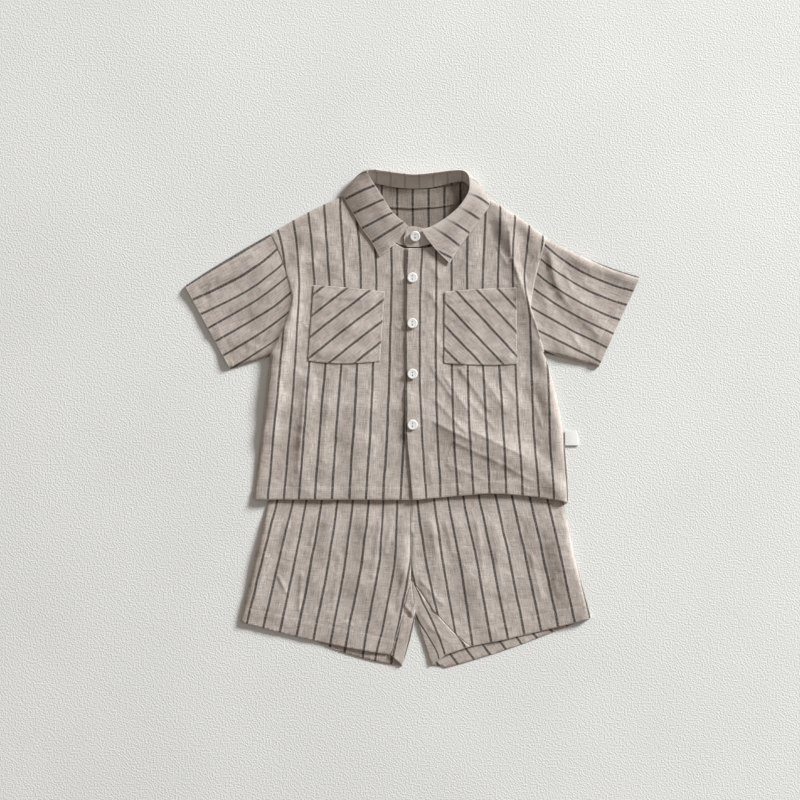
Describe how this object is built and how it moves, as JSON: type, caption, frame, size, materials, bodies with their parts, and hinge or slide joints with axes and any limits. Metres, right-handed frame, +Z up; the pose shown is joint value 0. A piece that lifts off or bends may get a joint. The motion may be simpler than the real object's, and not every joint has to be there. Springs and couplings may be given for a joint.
{
  "type": "toddler's striped shirt and shorts set, laid flat",
  "caption": "Toddler's short-sleeved striped shirt with collar, button front and chest pockets, laid flat over matching pull-on shorts.",
  "frame": {"origin": "on the surface that the set lies on, under the middle of its outline", "axes": "+Z up from the surface, +Y towards the collar, +X towards the garment's left side, which is the picture's right"},
  "size_m": [0.5, 0.5469, 0.0144],
  "materials": {
    "striped_cloth": "oatmeal linen-look cloth with thin dark stripes, matte",
    "button": "off-white two-hole buttons, satin",
    "label_tape": "plain white woven tape"
  },
  "bodies": {
    "root": {"shirt_back": "striped_cloth", "shirt_front_right": "striped_cloth", "shirt_front_left": "striped_cloth", "sleeve_right": "striped_cloth", "sleeve_left": "striped_cloth", "collar_leaf": "striped_cloth", "collar_stand": "striped_cloth", "neck_facing": "striped_cloth", "pocket_right": "striped_cloth", "pocket_left": "striped_cloth", "button_1": "button", "button_2": "button", "button_3": "button", "button_4": "button", "button_5": "button", "side_label": "label_tape", "shorts_front_right": "striped_cloth", "shorts_front_left": "striped_cloth", "shorts_back_right": "striped_cloth", "shorts_back_left": "striped_cloth", "waistband": "striped_cloth"}
  },
  "joints": []
}
